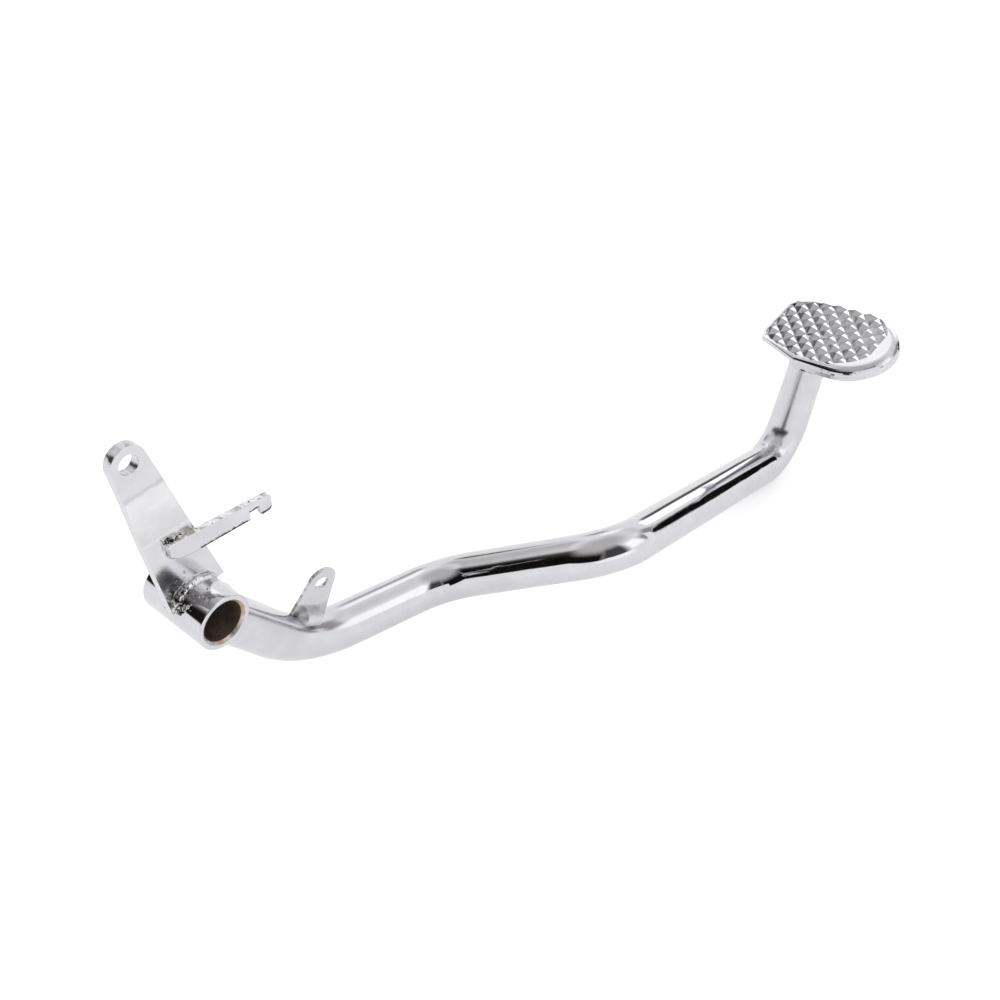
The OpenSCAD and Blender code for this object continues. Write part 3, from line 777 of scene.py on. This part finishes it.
def finger_welds():
    """Beads on the arm along the finger's top edge and round its lower corner."""
    y = ARM_OUT_Y - 0.2
    top = [
        Vector((x, y, FINGER_TOP_Z - (x - FINGER_X) * FINGER_FALL)) for x in spread(-7.4, 1.5, 60)
    ]
    low = [
        Vector((FINGER_X + 8 * t * t, y, 28.9 - 5 * t + 0.9 * t * t)) for t in spread(0, 1, 60)
    ]
    for name, path, leg, seed in (
        ("finger_weld_top", top, 0.95, 11),
        ("finger_weld_low", low, 0.85, 17),
    ):
        weld(name + "_bead", path, leg, (name,), weld_rough, 0.35, seed)


def tab_welds():
    """Beads on both faces of the tab's foot, inside the knee's bend."""
    ahead = (ROUTE[1] - ROUTE[0]).normalized()
    after = (ROUTE[2] - ROUTE[1]).normalized()
    turn = ahead.angle(after)
    inward = (after - ahead * ahead.dot(after)).normalized()
    middle = ROUTE[1] - ahead * BENDS[1] * math.tan(turn / 2) + inward * BENDS[1]
    axis = ahead.cross(inward)
    for height, name, leg, finish in (
        (-0.4, "tab_weld_outer", 3.7, weld_smooth),
        (-2.5, "tab_weld_inner", 1.3, weld_bright),
    ):
        reach = BENDS[1] - math.sqrt(TUBE_R[1] ** 2 - height**2) - 0.1 * leg
        path = []
        for around in turns(11, 29.5, 70):
            spoke = -inward * math.cos(around) + ahead * math.sin(around)
            path.append(middle + spoke * reach + axis * height)
        weld(name + "_bead", path, leg, (name,), finish, 0.12, height, pitch=30, ripple=0.02)


def pad_welds():
    """Beads under the pad: round the riser's front, and along its rear at the skirt's foot."""
    lean = math.radians(RISER_LEAN + PAD_TILT_Y)
    radius = TUBE_R[5]
    x = PAD_UNDERSIDE * math.sin(math.radians(PAD_TILT_Y))
    y = -PAD_UNDERSIDE * math.sin(math.radians(PAD_TILT_X))
    front = [
        (x + radius / math.cos(lean) * math.cos(turn), y + radius * math.sin(turn), PAD_UNDERSIDE)
        for turn in turns(-104, 112, 160)
    ]
    rear = [
        (0.8 - PAD_BEHIND + y * y / 72, y, PAD_UNDERSIDE - SKIRT_H)
        for y in spread(SKIRT_END - 0.8, -9, 90)
    ]
    for name, spots, leg, finish, lump, seed in (
        ("pad_weld_front", front, 1.9, weld_bright, 0.2, 23),
        ("pad_weld_rear", rear, 0.9, weld_rough, 0.25, 29),
    ):
        path = [PAD_PLACE @ Vector(spot) for spot in spots]
        weld(name + "_bead", path, leg, (name,), finish, lump, seed)


def finish_pad():
    """The foot pad keeps its solid's mesh."""
    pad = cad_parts["foot_pad"]
    pad.data.materials.clear()
    pad.data.materials.append(pad_chrome)


# The studio

# The table in metres: half its width, its middle along X, and how far it lies under the pedal
TABLE_REACH, TABLE_X, TABLE_BELOW = 0.9, 0.15, 0.0003
# Its own light, as the camera and as the chrome see it
TABLE_SEEN, TABLE_MIRRORED = 0.3, 0.12
# White cards that only the chrome sees: place, what each faces, width and height, in millimetres
CARDS = (
    ("jog card", (78, -72, -40), (98, -20, -50), 52, 30),
    ("toe card", (249, -154, -17), (280, -70, -62), 100, 96),
)
# How bright the chrome sees the room's walls
WALLS = 1.02
# Dark parts of the room: way, half width, softness, low edge, softness, high edge, softness,
# all in degrees, and how dark
GAPS = (
    (-16, 8.5, 1.5, -8, 1, 12, 1.5, 0.97),
    (24, 4, 2, 0, 2, 11, 2, 0.85),
    (49, 4, 2.5, 14, 3, 28, 4, 0.5),
    (-175, 50, 8, 9, 1.5, 54, 24, 0.97),
    (-105, 22, 8, 13, 1.5, 60, 15, 0.9),
    (145, 20, 14, 20, 6, 50, 8, 0.6),
    (-27, 19, 5, 13, 2, 36, 8, 0.62),
    (128, 14, 4, 8, 2, 27, 4, 0.95),
    (95, 25, 8, 30, 8, 48, 6, 0.35),
    (80, 13, 4, 14, 4, 26, 4, 0.9),
    (0, 200, 1, 60, 16, 120, 9, 0.4),
)
# Soft boxes: the same, and how much more light each shows than the walls. The last one is dim.
SOFT_BOXES = (
    (-62, 14, 6, 16, 6, 48, 6, 0.4),
    (11, 9, 2, 5, 2, 22, 3, 0.9),
    (-105, 30, 8, -12, 6, 11, 2, 0.25),
    (40, 9, 4, 33, 4, 47, 4, 0.34),
    (5, 22, 6, 36, 6, 50, 6, -0.15),
)


def table():
    """White paper under the pedal, lit a little by itself so that it comes out white."""
    bm = bmesh.new()
    bmesh.ops.create_grid(bm, x_segments=1, y_segments=1, size=TABLE_REACH)
    bmesh.ops.translate(bm, verts=bm.verts, vec=(TABLE_X, 0, cad_box[0].z - TABLE_BELOW))
    top = put("table", finished_mesh(bm, "table"))
    material, tree, shader = new_material("white paper")
    shader.inputs["Base Color"].default_value = (0.93, 0.93, 0.935, 1)
    shader.inputs["Roughness"].default_value = 0.9
    shader.inputs["Specular IOR Level"].default_value = 0
    rays = add(tree, "ShaderNodeLightPath")
    seen = math_node(tree, "MULTIPLY", rays.outputs["Is Camera Ray"], TABLE_SEEN)
    mirrored = math_node(tree, "MULTIPLY", rays.outputs["Is Glossy Ray"], TABLE_MIRRORED)
    shader.inputs["Emission Color"].default_value = (1, 1, 1, 1)
    join(tree, math_node(tree, "ADD", seen, mirrored), shader.inputs["Emission Strength"])
    top.data.materials.append(material)


def cards():
    """White cards in front of the jog and of the toe bend, which only the chrome sees."""
    for name, spot, facing, wide, tall in CARDS:
        bm = bmesh.new()
        bmesh.ops.create_grid(bm, x_segments=1, y_segments=1, size=0.5)
        bmesh.ops.scale(bm, vec=(wide * MM, tall * MM, 1), verts=bm.verts)
        look = (Vector(facing) - Vector(spot)).to_track_quat("Z", "Y").to_matrix().to_4x4()
        place = Matrix.Translation(Vector(spot) * MM) @ look
        bmesh.ops.transform(bm, matrix=place, verts=bm.verts)
        card = put(name, finished_mesh(bm, name))
        white, _, shader = new_material(name)
        shader.inputs["Base Color"].default_value = (0, 0, 0, 1)
        shader.inputs["Emission Color"].default_value = (1, 1, 1, 1)
        shader.inputs["Emission Strength"].default_value = 1.0
        card.data.materials.append(white)
        card.visible_camera = False
        card.visible_diffuse = False
        card.visible_shadow = False


def room():
    """White room that lights the pedal evenly. In the chrome it has dark gaps and soft boxes."""
    world = bpy.data.worlds.new("studio")
    bpy.context.scene.world = world
    world.use_nodes = True
    tree = world.node_tree
    place = add(tree, "ShaderNodeTexCoord")
    x, y, z = axes(tree, place.outputs["Generated"])
    height = math_node(tree, "MULTIPLY", math_node(tree, "ARCSINE", z), 180 / math.pi)

    def turned(first, by_first, operation, second, by_second):
        return math_node(
            tree,
            operation,
            math_node(tree, "MULTIPLY", first, by_first),
            math_node(tree, "MULTIPLY", second, by_second),
        )

    def screen(way, half_wide, soft, low, soft_low, high, soft_high):
        """1 inside a soft-edged part of the room: a compass way and its half width, and a lowest
        and a highest height, each with how softly it ends, all in degrees."""
        c, s = math.cos(math.radians(way)), math.sin(math.radians(way))
        aside = math_node(
            tree, "ARCTAN2", turned(y, c, "SUBTRACT", x, s), turned(x, c, "ADD", y, s)
        )
        off = math_node(tree, "ABSOLUTE", math_node(tree, "MULTIPLY", aside, 180 / math.pi))
        across = span(tree, off, half_wide - soft, half_wide + soft, 1, 0, True)
        edges = (low - soft_low, low + soft_low, high - soft_high, high + soft_high)
        return math_node(tree, "MULTIPLY", across, ridge(tree, height, *edges, True))

    light = None
    for *where, dark in GAPS:
        shut = span(tree, screen(*where), 0, 1, 1, 1 - dark)
        light = shut if light is None else math_node(tree, "MULTIPLY", light, shut)
    tint = ramp(
        tree,
        light,
        [(0.04, (0.006, 0.005, 0.004)), (0.35, (0.34, 0.325, 0.315)), (1.0, (1, 1, 1))],
    )
    glow = None
    for *where, more in SOFT_BOXES:
        lit = span(tree, screen(*where), 0, 1, 0, more)
        glow = lit if glow is None else math_node(tree, "ADD", glow, lit)
    bright = add(tree, "ShaderNodeVectorMath", operation="SCALE")
    join(tree, tint, bright.inputs[0])
    join(tree, math_node(tree, "ADD", glow, WALLS), bright.inputs[3])
    rays = add(tree, "ShaderNodeLightPath")
    seen = blend(tree, rays.outputs["Is Glossy Ray"], (1, 1, 1), bright.outputs[0])
    sky = tree.nodes["Background"]
    join(tree, seen, sky.inputs["Color"])
    sky.inputs["Strength"].default_value = 1.0


# The camera, fitted to the photograph: its place in metres, and its three ways
EYE = Vector((-0.149814, -0.264683, 0.306435))
EYE_RIGHT = Vector((0.653811, -0.756658, 0))
EYE_UP = Vector((0.508983, 0.439801, 0.73994))
EYE_AHEAD = Vector((0.559881, 0.483781, -0.672673))
SENSOR, LENS, NEAREST = 36, 44.712, 0.01


def camera():
    eye = put("camera", bpy.data.cameras.new("camera"))
    rows = zip(EYE_RIGHT, EYE_UP, -EYE_AHEAD, EYE)
    eye.matrix_world = Matrix([*rows, (0, 0, 0, 1)])
    eye.data.sensor_width = SENSOR
    eye.data.lens = LENS
    eye.data.clip_start = NEAREST
    bpy.context.scene.camera = eye


lever()
sleeve()
plates()
arm_welds()
arm_weld_start()
spatter()
lever_weld()
finger_welds()
tab_welds()
pad_welds()
finish_pad()
table()
cards()
room()
camera()
bpy.context.scene.view_settings.view_transform = "Standard"
